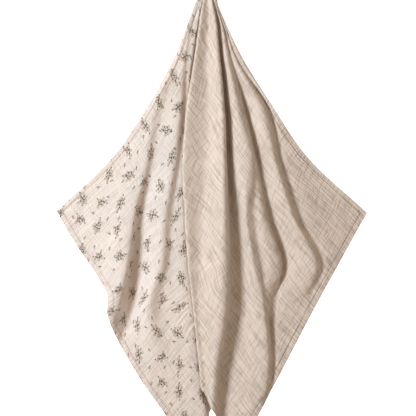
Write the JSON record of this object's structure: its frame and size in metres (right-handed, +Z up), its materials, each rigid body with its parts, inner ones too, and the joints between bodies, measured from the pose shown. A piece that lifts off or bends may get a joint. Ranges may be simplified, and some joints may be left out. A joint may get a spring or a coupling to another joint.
{
  "type": "swaddle blanket",
  "caption": "Square crinkled muslin swaddle blankets, one leaf-printed and one plain, hung by a corner from one point in soft folds.",
  "frame": {"origin": "the hanging point at the gathered top corner, where both blankets are held", "axes": "+Z up, +X to the right across the front, -Y towards the viewer, out of the front"},
  "size_m": [1.1592, 0.1695, 1.7267],
  "materials": {
    "plain_muslin": "warm beige crinkled cotton double gauze, matt",
    "printed_muslin": "pinkish cream crinkled cotton double gauze with small grey-green leaf sprigs, matt"
  },
  "bodies": {
    "root": {"plain_blanket": "plain_muslin", "printed_blanket": "printed_muslin"}
  },
  "joints": []
}
